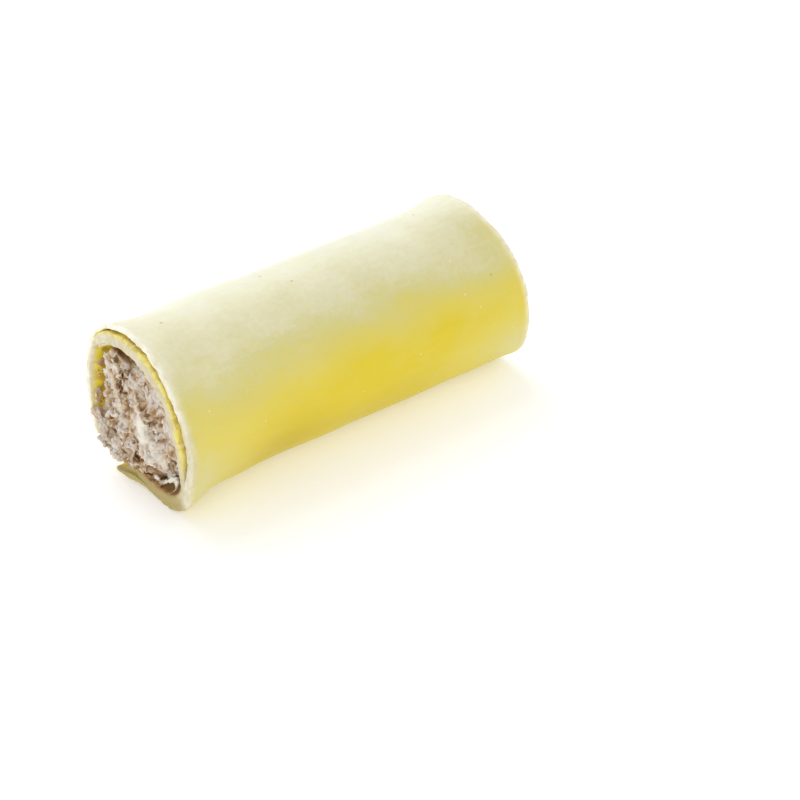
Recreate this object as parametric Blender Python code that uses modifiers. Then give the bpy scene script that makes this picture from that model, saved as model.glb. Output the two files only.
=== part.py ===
"""A cannellone: a sheet of fresh pasta rolled round a minced meat filling, lying on a table.

Units are metres. X runs along the roll and its shown end is at -X. Z is up, and the roll rests on Z = 0.
Across means sideways as seen from the shown end, positive to the right, which is -Y.
Clock angles are in degrees, clockwise from the top as seen from the shown end. The pasta starts inside the
roll near 11 o'clock, passes 3, 6 and 9 o'clock, and goes round again as the outer layer to 7 o'clock.
"""

import math

import bmesh
import bpy
from mathutils import Vector, noise

# The roll's outline: an ellipse whose lower half is fuller and sags on the table
ROLL_LENGTH = 0.0800
HALF_WIDTH = 0.0160
CENTRE_HEIGHT = 0.0157
TOP_RISE = 0.0170
BOTTOM_DROP = 0.0168
LOWER_FULLNESS = 2.25
FLOOR_BLEND = 0.0005
BLEND_PER_DEPTH = 0.4
NEAR_END = -0.0402
FAR_END = NEAR_END + ROLL_LENGTH
TABLE_CLOCK = 180.0

# Moves the section sideways, so that X runs through the middle of the whole roll's box
SIDE_SHIFT = 0.00025

# The hidden end is cut at a slant: how far it stands out at the right, and at the top, where it falls back
FAR_SLANT_RIGHT = 0.0011
FAR_SLANT_TOP = -0.0017

# The pasta sheet's thickness, as pairs of clock angle and thickness. It was pressed thin under the roll, and as
# the outer layer it is thin on the left and over the top.
THICKNESS_STOPS = (
    (-47.0, 0.0016), (0.0, 0.0021), (25.0, 0.0021), (70.0, 0.0016), (110.0, 0.00135), (220.0, 0.00130),
    (270.0, 0.00120), (315.0, 0.00095), (345.0, 0.00105), (405.0, 0.00115), (440.0, 0.00165), (470.0, 0.00170),
    (552.0, 0.00140), (568.0, 0.00080),
)
MAX_THICKNESS = max(thick for clock, thick in THICKNESS_STOPS)

# How the sheet lies in the roll
LAYER_GAP = 0.00040
FULL_TURN = 360.0
INNER_EDGE = -47.0
OUTER_EDGE = 568.0
STEP_OUT_START = 211.0
STEP_OUT_END = 236.0
EDGE_BEVEL = 0.0005
COLUMNS = 80
ROWS = 18
ROW_CROWDING = 0.115

# The lips: both ends of the roll flare, the outer layer more than the inner one, and least at upper right
LIP_REACH = 0.0032
LIP_FLARE = 0.00095
LIP_LOW_CLOCK = 60.0
LIP_LOW_SHARE = 0.35
LIP_LOW_FULL = 20.0
LIP_LOW_GONE = 80.0
LIP_TABLE_GONE = 30.0
LIP_TABLE_FULL = 60.0
INNER_LIP_SHARE = 0.30

# The sheet's first turn starts close against the outer layer: over how many degrees, and how much of the gap
# is left there
TIP_LIFT_REACH = 34.0
TIP_GAP_SHARE = 0.8

# The underside lifts a little off the table at the shown end, round this clock angle
LIFT_HEIGHT = 0.0008
LIFT_REACH = 0.0120
LIFT_SPAN = (185.0, 225.0, 22.0)

# The sheet's cut ends. Each span is two clock angles and the ramp on either side.
RIPPLE = 0.0003
NEAR_RIPPLE_RATE = 2.3
NEAR_RIPPLE_START = 40.0
FAR_RIPPLE_RATE = 1.7
FAR_RIPPLE_START = 150.0
STAND_OUT = 0.0010
STAND_OUT_SPAN = (15.0, 100.0, 50.0)
TEAR_DEPTH = 0.0030
TEAR_SPAN = (208.0, 226.0, 8.0)
TIP_OUT = 0.0004
TIP_START = 540.0
FAR_SET_BACK = 0.0008
FAR_SET_BACK_SPAN = (20.0, 110.0, 45.0)

# The filling: its side clears the pasta, apart from where it swells out through the tear.
CLEARANCE = 0.00040
THICKNESS_LOOK = 6.0
EDGE_RAMP_START = 26.0
EDGE_RAMP_END = 6.0
SWELL_SPAN = (210.0, 224.0, 6.0)
SWELL_DEPTH = 0.0009
SWELL_FULL = 0.0011
SWELL_END = 0.0024
FAR_INSET = 0.0010
ACROSS_CUTS = 30
STATIONS = (
    0.0, 0.0008, 0.0016, 0.0024, 0.0036, 0.0060, 0.0120,
    0.0240, 0.0400, 0.0560, 0.0700, 0.0785, 0.0800,
)
END_REACH = 0.024

# The crags of the cut faces: height, size of the large lumps, how much smaller the small lumps and the clefts
# are, the share of each kind, and the share of the height that is left beside the pasta
CRAG_HEIGHT = 0.00150
CRAG_SIZE = 0.0036
SMALL_RATIO = 2.3
CLEFT_RATIO = 1.4
LARGE_SHARE = 1.1
SMALL_SHARE = 0.6
CLEFT_SHARE = 0.9
MEAN_CLEFT = 0.25
EDGE_SHARE = 0.35
EDGE_POWER = 6
SMALL_SHIFT = Vector((4.1, 7.7, 1.3))
CLEFT_SHIFT = Vector((9.2, 3.4, 5.8))
FAR_SEED = 0.031

# Low swellings and dents of the whole roll: distance from the shown end, clock angle, reach along the roll,
# reach round it in degrees, height. They fade out beside the table.
SWELLING_GONE = 12.0
SWELLING_FULL = 36.0
SWELLINGS = (
    (0.0210, 139.0, 0.0150, 34.0, -0.00100),
    (0.0430, 139.0, 0.0110, 30.0, -0.00025),
    (0.0150, 319.0, 0.0120, 32.0, 0.00050),
    (0.0300, 319.0, 0.0100, 30.0, 0.00020),
    (0.0010, 143.0, 0.0038, 30.0, 0.00095),
    (0.0085, 139.0, 0.0045, 30.0, -0.00035),
    (0.0000, 278.0, 0.0050, 26.0, -0.00050),
    (0.0000, 322.0, 0.0045, 26.0, 0.00060),
    (0.0000, 48.0, 0.0060, 36.0, -0.00050),
    (0.0700, 139.0, 0.0080, 30.0, 0.00030),
    (0.0790, 30.0, 0.0060, 28.0, -0.00060),
    (0.0790, 102.0, 0.0060, 34.0, 0.00070),
    (0.0790, 335.0, 0.0060, 32.0, 0.00035),
)

# Hollows and bulges of the filling's cut faces: across, up, half width, half height, depth
NEAR_HOLLOWS = (
    (-0.0052, 0.0262, 0.0034, 0.0022, 0.0040),
    (-0.0132, 0.0205, 0.0036, 0.0080, 0.0030),
    (0.0090, 0.0068, 0.0030, 0.0024, 0.0052),
    (0.0010, 0.0030, 0.0080, 0.0018, 0.0024),
    (0.0070, 0.0230, 0.0050, 0.0050, 0.0012),
    (-0.0110, 0.0058, 0.0046, 0.0038, -0.0012),
    (-0.0136, 0.0108, 0.0020, 0.0018, -0.0011),
    (-0.0030, 0.0160, 0.0060, 0.0070, -0.0008),
    (0.0014, 0.0152, 0.0018, 0.0020, -0.0009),
    (-0.0004, 0.0128, 0.0018, 0.0020, -0.0009),
)
FAR_HOLLOWS = (
    (0.0080, 0.0240, 0.0044, 0.0034, 0.0026),
    (-0.0070, 0.0075, 0.0050, 0.0036, 0.0022),
    (-0.0040, 0.0180, 0.0060, 0.0060, -0.0012),
)


def smooth_step(low, high, value):
    """0 below low, 1 above high, and a smooth climb between them."""
    share = min(1.0, max(0.0, (value - low) / (high - low)))
    return share * share * (3.0 - 2.0 * share)


def window(span, value):
    """1 between the span's two limits, falling smoothly to 0 over its ramp on either side."""
    low, high, ramp = span
    return smooth_step(low - ramp, low, value) * (1.0 - smooth_step(high, high + ramp, value))


def turn_between(first, second):
    """The smaller angle between two clock angles, in degrees."""
    half = FULL_TURN / 2.0
    return abs((first - second + half) % FULL_TURN - half)


def swelling(clock, x):
    """How far the roll's surface stands out from its plain outline here."""
    total = 0.0
    for from_end, centre, reach_x, reach_clock, height in SWELLINGS:
        along = (x - NEAR_END - from_end) / reach_x
        turned = turn_between(clock, centre) / reach_clock
        total += height * math.exp(-along * along - turned * turned)
    clear_of_table = smooth_step(SWELLING_GONE, SWELLING_FULL, turn_between(clock, TABLE_CLOCK))
    return total * clear_of_table


def layer_point(clock, x, depth):
    """A point that lies depth under the roll's surface, as (across, up). The underside is pressed flat."""
    side = math.sin(math.radians(clock))
    rise = math.cos(math.radians(clock))
    if rise >= 0.0:
        reach_up, fullness = TOP_RISE - depth, 2.0
    else:
        reach_up, fullness = BOTTOM_DROP - depth, LOWER_FULLNESS
    wide = abs(side) / (HALF_WIDTH - depth)
    high = abs(rise) / reach_up
    radius = (wide**fullness + high**fullness) ** (-1.0 / fullness) + swelling(clock, x)
    above = CENTRE_HEIGHT + radius * rise - depth
    blend = FLOOR_BLEND + BLEND_PER_DEPTH * max(depth, 0.0)
    if above < -blend:
        above = 0.0
    elif above < blend:
        above = (above + blend) ** 2 / (4.0 * blend)
    lift = LIFT_HEIGHT * window(LIFT_SPAN, clock % FULL_TURN)
    lift *= 1.0 - smooth_step(0.0, LIFT_REACH, x - NEAR_END)
    return Vector((radius * side, depth + above + lift))


def lip(clock, x):
    """The outward flare of the outer layer near either end of the roll."""
    from_end = min(x - NEAR_END, FAR_END - x)
    clear_of_table = smooth_step(LIP_TABLE_GONE, LIP_TABLE_FULL, turn_between(clock, TABLE_CLOCK))
    near_low_clock = smooth_step(LIP_LOW_GONE, LIP_LOW_FULL, turn_between(clock, LIP_LOW_CLOCK))
    low_side = 1.0 - (1.0 - LIP_LOW_SHARE) * near_low_clock
    return LIP_FLARE * clear_of_table * low_side * math.exp(-max(0.0, from_end) / LIP_REACH)


def sheet_thickness(clock):
    """The thickness of the pasta at this turn of the roll."""
    for (start, thick), (end, next_thick) in zip(THICKNESS_STOPS, THICKNESS_STOPS[1:]):
        if clock <= end:
            return thick + (next_thick - thick) * smooth_step(start, end, clock)
    return THICKNESS_STOPS[-1][1]


def inner_share(clock):
    """1 where the sheet is the inner layer, 0 where it is the outer one."""
    return 1.0 - smooth_step(STEP_OUT_START, STEP_OUT_END, clock)


def tip_share(clock):
    """1 at the sheet's first edge, falling to 0 a little way round."""
    return smooth_step(INNER_EDGE + TIP_LIFT_REACH, INNER_EDGE, clock)


def sheet_depth(clock):
    """How deep the sheet's outer face lies: the inner layer lies under the outer one."""
    gap = LAYER_GAP * (1.0 - (1.0 - TIP_GAP_SHARE) * tip_share(clock))
    return inner_share(clock) * (sheet_thickness(clock + FULL_TURN) + gap)


def lip_share(clock):
    """How much of the lip's flare the sheet follows: all as the outer layer, little as the inner one."""
    held_back = inner_share(clock) * (1.0 - tip_share(clock))
    return 1.0 - (1.0 - INNER_LIP_SHARE) * held_back


def near_edge(clock):
    """Where the sheet ends at the shown end: the inner layer stands out, and a tear bares the filling."""
    standing_out = STAND_OUT * window(STAND_OUT_SPAN, clock)
    torn_back = TEAR_DEPTH * window(TEAR_SPAN, clock)
    outer_tip = TIP_OUT * smooth_step(TIP_START, OUTER_EDGE, clock)
    ripple = RIPPLE * math.sin(math.radians(clock * NEAR_RIPPLE_RATE + NEAR_RIPPLE_START))
    return NEAR_END + torn_back - standing_out - outer_tip + ripple


def far_cut(clock):
    """The slanting plane of the hidden end."""
    side, rise = math.sin(math.radians(clock)), math.cos(math.radians(clock))
    return FAR_END + FAR_SLANT_RIGHT * side + FAR_SLANT_TOP * rise


def far_edge(clock):
    """Where the sheet ends at the hidden end."""
    ripple = RIPPLE * math.sin(math.radians(clock * FAR_RIPPLE_RATE + FAR_RIPPLE_START))
    return far_cut(clock) + ripple - FAR_SET_BACK * window(FAR_SET_BACK_SPAN, clock)


def spaced_along(share):
    """Spreads the sheet's rows so that they are closer together near both ends."""
    return share - ROW_CROWDING * math.sin(2.0 * math.pi * share)


def roll_up(sheet):
    """Moves the points of a flat grid, from -1 to 1 both ways, to the rolled sheet."""
    group = sheet.vertex_groups.new(name="thickness")
    for point in sheet.data.vertices:
        clock = INNER_EDGE + (OUTER_EDGE - INNER_EDGE) * (point.co.x + 1.0) / 2.0
        near, far = near_edge(clock), far_edge(clock)
        x = near + (far - near) * spaced_along((point.co.y + 1.0) / 2.0)
        flare = lip(clock, x) * lip_share(clock)
        across, up = layer_point(clock, x, sheet_depth(clock) - flare)
        point.co = (x, SIDE_SHIFT - across, up)
        group.add([point.index], sheet_thickness(clock) / MAX_THICKNESS, "REPLACE")


def make_pasta():
    """The pasta: a flat grid, rolled up, thickened and softened along its cut edges."""
    bpy.ops.mesh.primitive_grid_add(x_subdivisions=COLUMNS, y_subdivisions=ROWS, size=2.0)
    sheet = bpy.context.object
    sheet.name = "pasta_sheet"
    roll_up(sheet)
    thicken = sheet.modifiers.new("thickness", "SOLIDIFY")
    thicken.thickness = MAX_THICKNESS
    thicken.offset = -1.0
    thicken.vertex_group = "thickness"
    soften = sheet.modifiers.new("soft_edges", "BEVEL")
    soften.width = EDGE_BEVEL
    soften.segments = 2
    soften.limit_method = "ANGLE"
    soften.angle_limit = math.radians(60.0)
    return sheet


def thickest_near(clock):
    """The greatest thickness of the pasta close to this turn of the roll."""
    return max(sheet_thickness(clock + step) for step in (-THICKNESS_LOOK, 0.0, THICKNESS_LOOK))


def filling_depth(clock, x):
    """How deep the filling's side lies under the roll's outline, so that it clears the pasta inside it."""
    clock = (clock - INNER_EDGE) % FULL_TURN + INNER_EDGE
    wall = thickest_near(clock)
    second_layer = inner_share(clock) * (thickest_near(clock + FULL_TURN) + LAYER_GAP)
    inner_edge = INNER_EDGE + FULL_TURN
    before_edge = smooth_step(inner_edge - EDGE_RAMP_START, inner_edge - EDGE_RAMP_END, clock)
    under_edge = before_edge * (thickest_near(INNER_EDGE) + LAYER_GAP)
    depth = wall + second_layer + under_edge + CLEARANCE
    in_tear = window(SWELL_SPAN, clock)
    outside_tear = 1.0 - smooth_step(SWELL_FULL, SWELL_END, x - NEAR_END)
    return depth - in_tear * outside_tear * (depth - SWELL_DEPTH)


def face_depth(across, up, hollows):
    """How far a cut face lies inside the end of the roll, before its crags."""
    depth = 0.0
    for centre_across, centre_up, half_width, half_height, amount in hollows:
        away = math.hypot((across - centre_across) / half_width, (up - centre_up) / half_height)
        depth += amount * math.exp(-away * away)
    return depth


def crag(across, up, radius, seed):
    """Lumps and clefts of the minced filling, in metres. They flatten towards the pasta."""
    place = Vector((across, up, seed)) / CRAG_SIZE
    large = noise.noise(place)
    small = noise.noise(place * SMALL_RATIO + SMALL_SHIFT)
    cleft = abs(noise.noise(place * CLEFT_RATIO + CLEFT_SHIFT))
    flatten = EDGE_SHARE + (1.0 - EDGE_SHARE) * (1.0 - radius**EDGE_POWER)
    height = LARGE_SHARE * large + SMALL_SHARE * small + CLEFT_SHARE * (cleft - MEAN_CLEFT)
    return CRAG_HEIGHT * flatten * height


def square_to_disc(a, b):
    """Maps a point of a square from -1 to 1 to a disc, keeping the grid even."""
    return a * math.sqrt(1.0 - b * b / 2.0), b * math.sqrt(1.0 - a * a / 2.0)


def near_face(across, up, radius):
    """Where the filling's shown face lies."""
    return NEAR_END + face_depth(across, up, NEAR_HOLLOWS) - crag(across, up, radius, 0.0)


def far_face(clock, across, up, radius):
    """Where the filling's hidden face lies, a little inside the pasta."""
    slant = FAR_END + radius * (far_cut(clock) - FAR_END) - FAR_INSET
    return slant - face_depth(across, up, FAR_HOLLOWS) + crag(across, up, radius, FAR_SEED)


def filling_side(clock, x):
    """A point of the filling's side, as (across, up)."""
    return layer_point(clock, x, filling_depth(clock, x))


def shape_filling(point):
    """Moves one point of a cube from -1 to 1 to the filling."""
    right, rise = square_to_disc(-point.y, point.z)
    radius = math.hypot(right, rise)
    clock = math.degrees(math.atan2(right, rise))
    last = len(STATIONS) - 1
    station = round((point.x + 1.0) / 2.0 * last)
    along = STATIONS[station]
    near_side = filling_side(clock, NEAR_END)
    far_side = filling_side(clock, FAR_END)
    near_shift = near_face(near_side.x, near_side.y, 1.0) - NEAR_END
    far_shift = far_face(clock, far_side.x, far_side.y, 1.0) - FAR_END
    near_share = max(0.0, 1.0 - along / END_REACH)
    far_share = max(0.0, 1.0 - (ROLL_LENGTH - along) / END_REACH)
    x = NEAR_END + along + near_shift * near_share + far_shift * far_share
    centre = Vector((0.0, CENTRE_HEIGHT))
    across, up = centre + (filling_side(clock, x) - centre) * radius
    if station == 0:
        x = near_face(across, up, radius)
    elif station == last:
        x = far_face(clock, across, up, radius)
    return Vector((x, SIDE_SHIFT - across, up))


def make_filling():
    """The filling: a cube cut into a grid and shaped to fit inside the pasta, with craggy cut faces."""
    mesh = bpy.data.meshes.new("filling")
    grid = bmesh.new()
    bmesh.ops.create_cube(grid, size=2.0)
    lengthwise = [e for e in grid.edges if abs(e.verts[0].co.x - e.verts[1].co.x) > 1.0]
    bmesh.ops.subdivide_edges(grid, edges=lengthwise, cuts=len(STATIONS) - 2, use_grid_fill=True)
    crosswise = [e for e in grid.edges if abs(e.verts[0].co.x - e.verts[1].co.x) < 0.001]
    bmesh.ops.subdivide_edges(grid, edges=crosswise, cuts=ACROSS_CUTS - 1, use_grid_fill=True)
    for vertex in grid.verts:
        vertex.co = shape_filling(vertex.co.copy())
    grid.to_mesh(mesh)
    grid.free()
    filling = bpy.data.objects.new("filling", mesh)
    return filling


def material(name, colour, roughness):
    """A plain non-metallic finish."""
    made = bpy.data.materials.new(name)
    made.use_nodes = True
    shader = made.node_tree.nodes["Principled BSDF"]
    shader.inputs["Base Color"].default_value = (*colour, 1.0)
    shader.inputs["Roughness"].default_value = roughness
    shader.inputs["Metallic"].default_value = 0.0
    return made


def collect(name, members):
    """Puts objects in a collection of their own."""
    group = bpy.data.collections.new(name)
    bpy.context.scene.collection.children.link(group)
    for member in members:
        for holder in list(member.users_collection):
            holder.objects.unlink(member)
        group.objects.link(member)


def finish(obj, look):
    """Smooth shading with crisp cut edges, and the object's material."""
    obj.data.materials.clear()
    obj.data.materials.append(look)
    obj.data.shade_smooth()
    obj.data.set_sharp_from_angle(angle=math.radians(50.0))


def main():
    for old in list(bpy.data.objects):
        bpy.data.objects.remove(old, do_unlink=True)
    pasta = make_pasta()
    filling = make_filling()
    collect("cannellone", [pasta, filling])
    finish(pasta, material("pasta", (0.84, 0.76, 0.42), 0.45))
    finish(filling, material("meat_filling", (0.42, 0.32, 0.24), 0.60))


main()
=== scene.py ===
"""Looks of the cannellone: the pasta's skin and torn rims, the minced filling, its crumbs, light and camera.

Units are metres, in the CAD frame: X along the roll with the shown end at -X, Z up. Across means sideways as
seen from the shown end, positive to the right, which is -Y. Clock angles are in degrees, clockwise from the
top as seen from the shown end. A span is two limits and the ramp outside them. The roll's outline and the
turns of the pasta repeat the CAD's named values.
"""

import math
import random

import bmesh
import bpy
import numpy as np
from mathutils import Matrix, Vector, noise


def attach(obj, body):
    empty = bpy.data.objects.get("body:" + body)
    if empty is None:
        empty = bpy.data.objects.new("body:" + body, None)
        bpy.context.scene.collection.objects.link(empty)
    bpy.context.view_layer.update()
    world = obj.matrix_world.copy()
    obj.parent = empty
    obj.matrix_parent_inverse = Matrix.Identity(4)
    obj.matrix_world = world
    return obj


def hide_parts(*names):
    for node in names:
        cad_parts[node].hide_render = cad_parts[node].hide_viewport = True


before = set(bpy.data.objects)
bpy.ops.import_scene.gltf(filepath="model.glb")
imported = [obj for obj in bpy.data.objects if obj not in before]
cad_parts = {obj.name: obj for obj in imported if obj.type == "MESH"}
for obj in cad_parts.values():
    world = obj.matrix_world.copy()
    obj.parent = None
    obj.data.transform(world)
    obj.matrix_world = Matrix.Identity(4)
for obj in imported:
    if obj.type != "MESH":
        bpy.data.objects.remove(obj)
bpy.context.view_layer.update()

# The roll's outline
ROLL_LENGTH = 0.08
HALF_WIDTH = 0.016
CENTRE_HEIGHT = 0.0157
TOP_RISE = 0.017
BOTTOM_DROP = 0.0168
UPPER_FULLNESS = 2.0
LOWER_FULLNESS = 2.25
FLOOR_BLEND = 0.0005
BLEND_PER_DEPTH = 0.4
NEAR_END = -0.0402
FAR_END = NEAR_END + ROLL_LENGTH
SIDE_SHIFT = 0.00025
FAR_SLANT_RIGHT = 0.0011
FAR_SLANT_TOP = -0.0017
TABLE_CLOCK = 180.0

# The pasta sheet: pairs of clock angle and thickness
THICKNESS_STOPS = (
    (-47.0, 0.0016), (0.0, 0.0021), (25.0, 0.0021), (70.0, 0.0016), (110.0, 0.00135),
    (220.0, 0.0013), (270.0, 0.0012), (315.0, 0.00095), (345.0, 0.00105), (405.0, 0.00115),
    (440.0, 0.00165), (470.0, 0.0017), (552.0, 0.0014), (568.0, 0.0008),
)
FULL_TURN = 360.0
LAYER_GAP = 0.0004
INNER_EDGE = -47.0
OUTER_EDGE = 568.0
STEP_OUT = (211.0, 236.0)

# The layers touch almost everywhere, and have grown together low on the right
SHOWN_GAP = 0.0001
FUSED_SPAN = (122.0, 190.0, 26.0)
FUSED_OVERLAP = 0.0002
COMMON_EDGE_SPAN = (118.0, 168.0, 30.0)
COMMON_EDGE_STEP = 0.00006
LESS_OUT = 0.00035
LESS_OUT_SPAN = (92.0, 128.0, 16.0)
FULLER = 0.0004
FULLER_SPAN = (-34.0, 24.0, 30.0)

# The lips and cut ends. PULP is the roughness of the cut edges: height, size, seed.
LIP_REACH = 0.0032
LIP_FLARE = 0.00095
LIP_LOW_CLOCK = 60.0
LIP_LOW_SHARE = 0.35
LIP_LOW_FADE = (80.0, 20.0)
LIP_TABLE_FADE = (30.0, 60.0)
INNER_LIP_SHARE = 0.3
TIP_LIFT_REACH = 34.0
PULP = ((0.0002, 0.0011, 3.0), (0.00016, 0.0005, 4.0))
PULP_REACH = 0.0007
TIP_PULP = 1.6
TIP_GAP_SHARE = 0.8
LIFT_HEIGHT = 0.0008
LIFT_REACH = 0.012
LIFT_SPAN = (185.0, 225.0, 22.0)
RIPPLE = 0.0003
NEAR_RIPPLE = (2.3, 40.0)
FAR_RIPPLE = (1.7, 150.0)
STAND_OUT = 0.001
STAND_OUT_SPAN = (15.0, 100.0, 50.0)
TEAR_DEPTH = 0.003
TEAR_SPAN = (208.0, 226.0, 8.0)
TIP_OUT = 0.0004
TIP_START = 540.0
FAR_SET_BACK = 0.0008
FAR_SET_BACK_SPAN = (20.0, 110.0, 45.0)

# Swellings and dents of the roll: distance from the shown end, clock, reach along, reach round, height
SWELLINGS = (
    (0.021, 139.0, 0.015, 34.0, -0.001), (0.043, 139.0, 0.011, 30.0, -0.00025),
    (0.015, 319.0, 0.012, 32.0, 0.0005), (0.03, 319.0, 0.01, 30.0, 0.0002),
    (0.001, 143.0, 0.0038, 30.0, 0.00095), (0.0085, 139.0, 0.0045, 30.0, -0.00035),
    (0.0, 278.0, 0.005, 26.0, -0.0005), (0.0, 322.0, 0.0045, 26.0, 0.0006),
    (0.0, 48.0, 0.006, 36.0, -0.0005), (0.07, 139.0, 0.008, 30.0, 0.0003),
    (0.079, 30.0, 0.006, 28.0, -0.0006), (0.079, 102.0, 0.006, 34.0, 0.0007),
    (0.079, 335.0, 0.006, 32.0, 0.00035),
)
SWELLING_FADE = (12.0, 36.0)

# Waves of the skin, which fade towards the table: height, size, squeeze along the roll, seed
WAVES = ((0.0003, 0.009, 0.8, 1.0), (0.00011, 0.0036, 0.55, 2.0))
WAVES_FADE = (22.0, 50.0)

# The filling
CLEARANCE = 0.0004
TOUCHING = 0.00003
SWELL_SPAN = (210.0, 224.0, 6.0)
SWELL_DEPTH = 0.0009
SWELL_FADE = (0.0011, 0.0024)
UNDER_EDGE_START = 334.0
UNDER_EDGE_FULL = 354.0
FAR_INSET = 0.001
PLUG_DEPTH = 0.0065
PLUG_RINGS = 60
PLUG_SPOKES = 200
PLUG_SIDE_ROWS = (0.08, 0.16, 0.24, 0.34, 0.48, 0.7, 1.0)
CORE_SPOKES = 96
CORE_ROWS = 9
CORE_OVERLAP = 0.0004
NEAR_VOXEL = 0.00017
FAR_VOXEL = 0.00024

# Hollows and bulges of the cut faces: across, up, half width, half height, lean in degrees, depth
NEAR_HOLLOWS = (
    (-0.0058, 0.0275, 0.0036, 0.0017, -4.0, 0.0052), (-0.0028, 0.0262, 0.0022, 0.0013, 14.0, 0.0026),
    (0.0004, 0.0268, 0.0024, 0.0008, 32.0, 0.003), (-0.0138, 0.0195, 0.003, 0.0086, 0.0, 0.0036),
    (0.0078, 0.0041, 0.0038, 0.002, 14.0, 0.0068), (0.01, 0.0102, 0.0012, 0.0013, 0.0, 0.004),
    (0.0006, 0.0034, 0.0068, 0.001, 4.0, 0.0028), (0.007, 0.023, 0.005, 0.005, 0.0, 0.0008),
    (-0.011, 0.006, 0.0042, 0.0036, 0.0, -0.0008), (-0.003, 0.016, 0.006, 0.007, 0.0, -0.0008),
    (0.003, 0.0092, 0.0046, 0.0026, 10.0, -0.0005),
)
NEAR_DENTS = (
    (-0.004, 0.0222, 0.0011, 0.0016, 20.0, 0.003), (-0.009, 0.0142, 0.0019, 0.0012, -30.0, 0.0021),
    (0.0041, 0.0148, 0.0007, 0.002, 25.0, 0.0021), (-0.0054, 0.01, 0.0017, 0.0008, 10.0, 0.002),
    (-0.0094, 0.0081, 0.0018, 0.0009, 0.0, 0.002), (-0.0036, 0.0068, 0.0008, 0.0012, 20.0, 0.0015),
    (-0.0062, 0.006, 0.0008, 0.0012, 20.0, 0.0011), (-0.0011, 0.0068, 0.0008, 0.001, 20.0, 0.0011),
    (0.001, 0.0214, 0.001, 0.0014, 20.0, 0.0014), (0.0048, 0.02, 0.0008, 0.0014, 20.0, 0.0013),
    (0.006, 0.0128, 0.0008, 0.0012, 10.0, 0.0012), (-0.0078, 0.0196, 0.0008, 0.0013, 20.0, 0.0013),
    (-0.002, 0.019, 0.0007, 0.0012, 20.0, 0.0012), (0.0002, 0.0118, 0.0008, 0.0008, 0.0, 0.0012),
    (0.002, 0.0242, 0.0012, 0.0007, 30.0, 0.0014),
)
NEAR_FACE = NEAR_HOLLOWS + NEAR_DENTS
FAR_HOLLOWS = (
    (0.008, 0.024, 0.0044, 0.0034, 0.0, 0.0026), (-0.007, 0.0075, 0.005, 0.0036, 0.0, 0.0022),
    (0.001, 0.015, 0.0016, 0.0022, 20.0, 0.0016), (-0.008, 0.019, 0.0014, 0.0018, 0.0, 0.0014),
    (0.005, 0.009, 0.0016, 0.0014, 0.0, 0.0014), (-0.004, 0.018, 0.006, 0.006, 0.0, -0.0012),
)

# The creamy lump, as a chain of soft blobs in the cut face: across, up, size, how creamy
CREAM = (
    (0.0016, 0.0188, 0.0008, 0.25), (0.0018, 0.0175, 0.0011, 0.6),
    (0.0016, 0.0161, 0.0013, 0.95), (0.0017, 0.0147, 0.0014, 1.0),
    (0.0026, 0.0134, 0.0013, 0.9), (0.004, 0.0126, 0.0011, 0.65),
    (0.0056, 0.012, 0.0012, 0.4), (0.0058, 0.01, 0.0015, 0.3),
    (0.0036, 0.0096, 0.0014, 0.25),
)

# The camera was fitted to the photo: where it looks, how far away it stands and how narrow its view is
CAMERA_TARGET = Vector((0.01529, -0.00713, 0.0))
CAMERA_AZIMUTH = -41.02
CAMERA_ELEVATION = 33.0
CAMERA_DISTANCE = 0.374
CAMERA_LENS = 85.8


def fade(low, high, value):
    """0 at low, 1 at high, and a smooth climb between them."""
    share = np.clip((value - low) / (high - low), 0.0, 1.0)
    return share * share * (3.0 - 2.0 * share)


def window(span, value):
    """1 between the span's limits, falling smoothly to 0 over its ramp on either side."""
    low, high, ramp = span
    return fade(low - ramp, low, value) * (1.0 - fade(high, high + ramp, value))


def bell(value, reach):
    """1 at 0, falling smoothly on either side."""
    return np.exp(-((value / reach) ** 2))


def turn_between(first, second):
    """The smaller angle between two clock angles, in degrees."""
    return np.abs((first - second + 180.0) % 360.0 - 180.0)


def swelling(clock, x):
    """How far the roll's surface stands out from its plain outline here."""
    total = 0.0
    for from_end, centre, reach_x, reach_clock, height in SWELLINGS:
        along = (x - NEAR_END - from_end) / reach_x
        turned = turn_between(clock, centre) / reach_clock
        total = total + height * np.exp(-along * along - turned * turned)
    return total * fade(*SWELLING_FADE, turn_between(clock, TABLE_CLOCK))


def layer_point(clock, x, depth):
    """The point depth under the roll's surface: across and up."""
    side = np.sin(np.radians(clock))
    rise = np.cos(np.radians(clock))
    upper = rise >= 0.0
    reach_up = np.where(upper, TOP_RISE, BOTTOM_DROP) - depth
    fullness = np.where(upper, UPPER_FULLNESS, LOWER_FULLNESS)
    wide = np.abs(side) / (HALF_WIDTH - depth)
    high = np.abs(rise) / reach_up
    radius = (wide**fullness + high**fullness) ** (-1.0 / fullness) + swelling(clock, x)
    above = CENTRE_HEIGHT + radius * rise - depth
    blend = FLOOR_BLEND + BLEND_PER_DEPTH * np.maximum(depth, 0.0)
    bent = (above + blend) ** 2 / (4.0 * blend)
    above = np.where(above < -blend, 0.0, np.where(above < blend, bent, above))
    lift = LIFT_HEIGHT * window(LIFT_SPAN, clock % 360.0)
    lift = lift * (1.0 - fade(0.0, LIFT_REACH, x - NEAR_END))
    return radius * side, depth + above + lift


def lip(clock, x):
    """The outward flare of the outer layer near either end of the roll."""
    from_end = np.maximum(0.0, np.minimum(x - NEAR_END, FAR_END - x))
    clear_of_table = fade(*LIP_TABLE_FADE, turn_between(clock, TABLE_CLOCK))
    low = fade(*LIP_LOW_FADE, turn_between(clock, LIP_LOW_CLOCK))
    return LIP_FLARE * clear_of_table * (1.0 - (1.0 - LIP_LOW_SHARE) * low) * np.exp(-from_end / LIP_REACH)


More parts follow.
